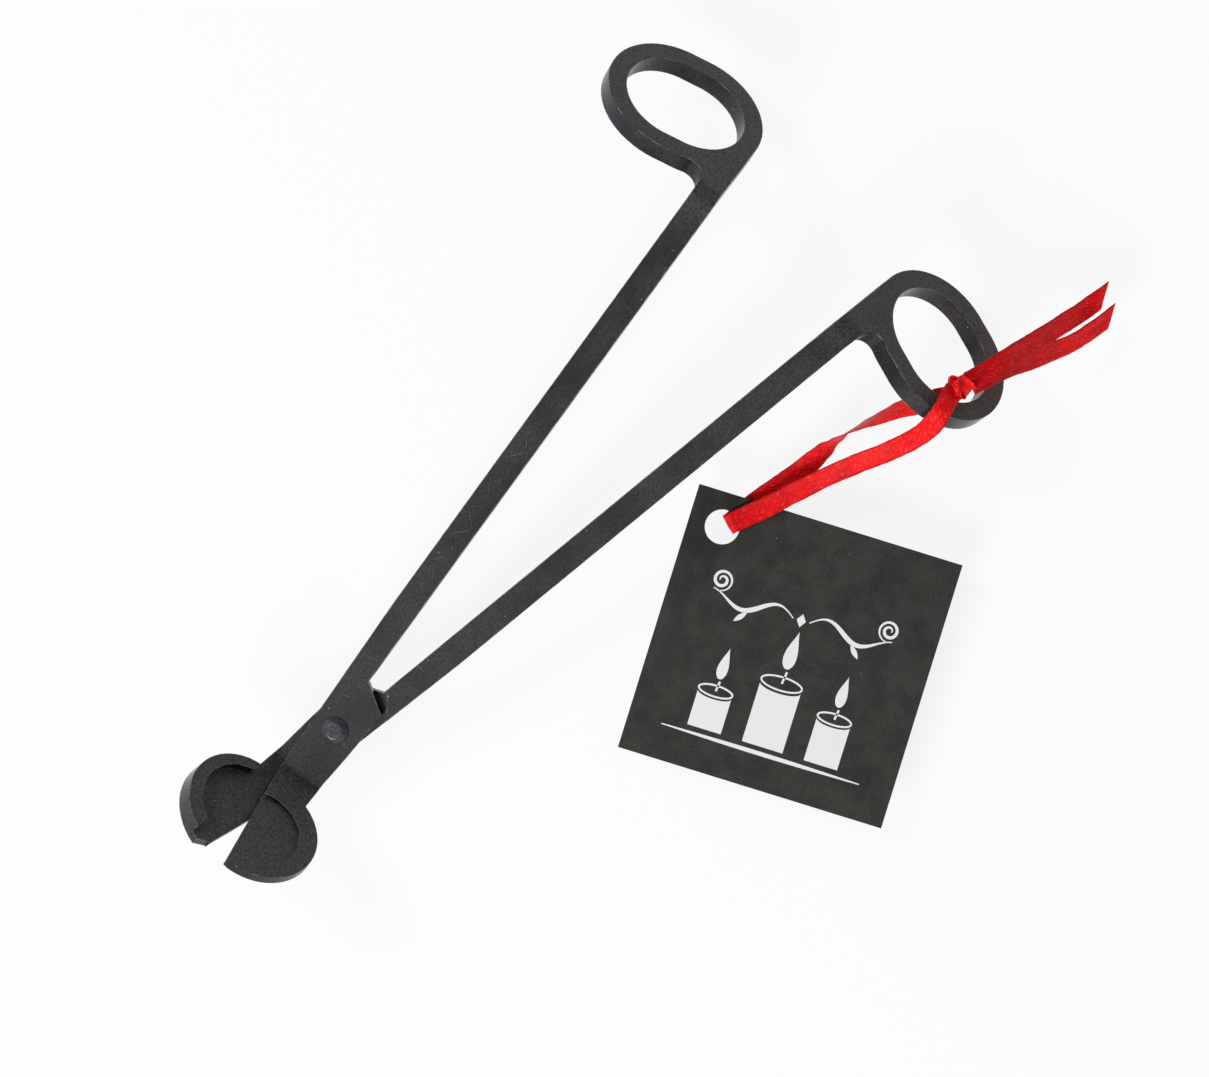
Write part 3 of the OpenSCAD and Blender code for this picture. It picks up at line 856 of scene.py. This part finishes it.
scrollLook = {
    "wave": (0.0016, 0.0045),        # where it starts, and how far short of the reach it ends
    "waveHeight": 0.0017,
    "waveTurns": 1.2,
    "waveFade": 0.3,
    "waveLine": (0.00022, 0.0007),
    "curl": (0.0040, 0.0030),        # its middle: back from the reach, and up
    "curlSize": 0.0021,
    "curlTurns": 1.8,
    "curlFade": 0.8,
    "curlLine": (0.0002, 0.0004),
    "leaf": (0.002, 0.0016, 0.0022), # its reach outward, its start and its drop
    "leafLine": (0.0001, 0.0009),
    "diamond": (0.0009, 0.0013),
    "wavePoints": 70,
    "curlPoints": 60,
    "leafPoints": 13,
}


def shares(count):
    return [i / (count - 1) for i in range(count)]


def brush(line, power=1):
    # the width of a stroke that swells towards its middle
    least, more = line
    return lambda t: least + more * math.sin(math.pi * t) ** power


def strokePath(points, width):
    # a flat brush stroke: width(t) along a line of points
    verts = []
    faces = []
    last = len(points) - 1
    for i, spot in enumerate(points):
        ahead = points[min(i + 1, last)]
        behind = points[max(i - 1, 0)]
        dx = ahead[0] - behind[0]
        dy = ahead[1] - behind[1]
        size = math.hypot(dx, dy) or 1.0
        half = width(i / last) / 2
        verts.append((spot[0] - dy / size * half, spot[1] + dx / size * half))
        verts.append((spot[0] + dy / size * half, spot[1] - dx / size * half))
        if i:
            faces.append((2 * i - 2, 2 * i, 2 * i + 1, 2 * i - 1))
    return verts, faces


def filledShape(points):
    return list(points), [tuple(range(len(points)))]


def flameShape(look, x, y, width, height):
    # a drop that is round below and drawn to a point above
    points = []
    for i in range(look["flamePoints"]):
        angle = 2 * math.pi * i / look["flamePoints"]
        up = (1 - math.cos(angle)) / 2
        out = math.sin(angle) * width / 2 * (1 - up ** look["flamePoint"])
        points.append((x - out + look["flameLean"] * up * up * width, y + height * up))
    return filledShape(points)


def candleShapes(look, x, foot, width, height):
    # a body with a rounded top, the oval line of the melt, wick and flame
    top = foot + height
    rim = look["rim"] * width
    roundness, drop = look["shoulder"]
    body = [(x - width / 2, foot), (x + width / 2, foot)]
    for t in shares(look["shoulderPoints"]):
        sag = rim * math.sin(math.pi * t) * roundness
        body.append((x + width / 2 * math.cos(math.pi * t), top - sag - rim * drop))
    melt = [(x + width / 2 * math.cos(2 * math.pi * t), top + rim * math.sin(2 * math.pi * t))
            for t in shares(look["meltPoints"])]
    wick = [(x + aside * width, top + up * width) for aside, up in look["wick"]]
    flameFoot, flameWidth, flameHeight = [share * width for share in look["flame"]]
    return [filledShape(body), strokePath(melt, lambda t: look["meltLine"]),
            strokePath(wick, lambda t: look["wickLine"]),
            flameShape(look, x, top + flameFoot, flameWidth, flameHeight)]


def scrollShapes(look, x, y, reach):
    # a mirrored scroll: a long wave that curls up at its outer end, with a leaf on each half
    shapes = []
    waveStart, waveShort = look["wave"]
    curlBack, curlUp = look["curl"]
    leafOut, leafStart, leafDrop = look["leaf"]
    for side in (1, -1):
        wave = []
        for t in shares(look["wavePoints"]):
            rise = look["waveHeight"] * math.sin(2 * look["waveTurns"] * math.pi * t)
            rise *= 1 - look["waveFade"] * t
            wave.append((x + side * (waveStart + (reach - waveShort) * t), y + rise))
        shapes.append(strokePath(wave, brush(look["waveLine"], 2)))
        curl = []
        for t in shares(look["curlPoints"]):
            angle = math.pi * (1.5 - 2 * look["curlTurns"] * t)
            size = look["curlSize"] * (1 - look["curlFade"] * t)
            curl.append((x + side * (reach - curlBack + size * math.cos(angle)),
                         y + curlUp + size * math.sin(angle)))
        shapes.append(strokePath(curl, brush(look["curlLine"])))
        leaf = [(x + side * (reach / 2 + leafOut * t), y - leafStart - leafDrop * t)
                for t in shares(look["leafPoints"])]
        shapes.append(strokePath(leaf, brush(look["leafLine"])))
    wide, tall = look["diamond"]
    shapes.append(filledShape([(x, y + tall), (x - wide, y), (x, y - tall), (x + wide, y)]))
    return shapes


def faceUp(mesh):
    tidy = bmesh.new()
    tidy.from_mesh(mesh)
    for face in tidy.faces:
        face.normal_update()
        if face.normal.z < 0:
            face.normal_flip()
    tidy.to_mesh(mesh)
    tidy.free()


def makePrint(look):
    x, y = look["middle"]
    shapes = scrollShapes(scrollLook, x, look["scrollHeight"], look["scrollReach"])
    for aside, width, height in look["candles"]:
        shapes += candleShapes(candleLook, x + aside, y - look["foot"], width, height)
    half, drop = look["shelf"]
    shelf = [(x - half + 2 * half * t, y - drop) for t in shares(look["shelfPoints"])]
    shapes.append(strokePath(shelf, brush(look["shelfLine"])))
    hole = Vector(joints["tag_swivel"]["pos_m"])
    low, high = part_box("hang_tag")
    turn = Matrix.Rotation(math.radians(look["turn"]), 3, "Z")
    verts = []
    faces = []
    for points, polygons in shapes:
        faces += [tuple(len(verts) + k for k in polygon) for polygon in polygons]
        for px, py in points:
            spot = turn @ Vector((px, py, 0))
            verts.append((hole.x + spot.x, hole.y + spot.y, high.z + look["gap"]))
    piece = addMesh("tag_print", verts, faces, smooth=False)
    faceUp(piece.data)
    thick = piece.modifiers.new("ink", "SOLIDIFY")
    thick.thickness = look["ink"]
    thick.offset = 1
    return piece


inkLook = {
    "ink": (0.86, 0.86, 0.84, 1),
    "thin": (0.5, 0.49, 0.46, 1),    # where the card shows through
    "grain": 0.00025,
    "grainTint": 0.12,
    "patches": 0.003,
    "roughness": (0.5, 0.1),
}


def makeInk(look):
    material, tree, shader = newMaterial("pale printing ink")
    place = addNode(tree, "TexCoord").outputs["Object"]
    grain = useGroup(tree, grainGroup, {"Position": place, "Size": look["grain"], "Patches": look["patches"]})
    thinned = calc(tree, "MULTIPLY", grain.outputs["Grain"], look["grainTint"])
    feed(tree, shader.inputs["Base Color"], mixColour(tree, thinned, look["ink"], look["thin"]))
    least, more = look["roughness"]
    feed(tree, shader.inputs["Roughness"], calc(tree, "MULTIPLY_ADD", grain.outputs["Patch"], more, least))
    return material


tagPrint = makePrint(printLook)
paint(tagPrint, makeInk(inkLook))
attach(tagPrint, "tag")
print("tag finished")


# a pale floor that glows a little, so that hardly any shadow shows

floorLook = {
    "size": 3.0,
    "below": 0.0072,          # room under the trimmer: the tag dips when the levers swing open
    "albedo": 0.12,
    "glow": 0.86,
    "roughness": 0.9,
}


def makeFloor(look):
    half = look["size"] / 2
    corners = [(-half, -half), (half, -half), (half, half), (-half, half)]
    floor = addMesh("floor", [(x, y, -look["below"]) for x, y in corners], [(0, 1, 2, 3)], smooth=False)
    material, tree, shader = newMaterial("pale floor")
    shader.inputs["Base Color"].default_value = (look["albedo"], look["albedo"], look["albedo"], 1)
    shader.inputs["Roughness"].default_value = look["roughness"]
    shader.inputs["Specular IOR Level"].default_value = 0.0
    shader.inputs["Emission Color"].default_value = (1, 1, 1, 1)
    shader.inputs["Emission Strength"].default_value = look["glow"]
    paint(floor, material)


lightLook = {
    "horizon": (0.80, 0.77, 0.72, 1),
    "middle": (0.10, 0.10, 0.11, 1),      # a darker band part way up
    "zenith": (0.26, 0.28, 0.33, 1),
    "middleFrom": (0.1, 0.45),            # heights on the sky, from 0 to 1, where each band blends in
    "zenithFrom": (0.7, 0.92),
    "softboxSize": 0.6,
    # each softbox: name, place, power
    "softboxes": [("key", (-1.1, -0.2, 0.9), 17.0), ("fill", (-0.2, 1.0, 1.2), 9.0)],
}


def makeWorld(look):
    world = bpy.data.worlds.new("studio")
    world.use_nodes = True
    tree = world.node_tree
    tree.nodes.clear()
    direction = addNode(tree, "TexCoord").outputs["Generated"]
    height = addNode(tree, "SeparateXYZ", None, {"Vector": direction}).outputs["Z"]
    lower = mixColour(tree, spread(tree, height, *look["middleFrom"]), look["horizon"], look["middle"])
    colour = mixColour(tree, spread(tree, height, *look["zenithFrom"]), lower, look["zenith"])
    sky = addNode(tree, "Background", None, {"Color": colour})
    output = tree.nodes.new("ShaderNodeOutputWorld")
    tree.links.new(sky.outputs[0], output.inputs[0])
    bpy.context.scene.world = world


def makeSoftbox(name, place, power, size):
    light = bpy.data.lights.new(name, "AREA")
    light.energy = power
    light.shape = "DISK"
    light.size = size
    lamp = bpy.data.objects.new(name, light)
    lamp.location = place
    lamp.rotation_euler = (-Vector(place)).to_track_quat("-Z", "Y").to_euler()
    bpy.context.scene.collection.objects.link(lamp)


makeFloor(floorLook)
makeWorld(lightLook)
for name, place, power in lightLook["softboxes"]:
    makeSoftbox(name, place, power, lightLook["softboxSize"])
bpy.context.scene.view_settings.view_transform = "Standard"
print("floor and light ready")
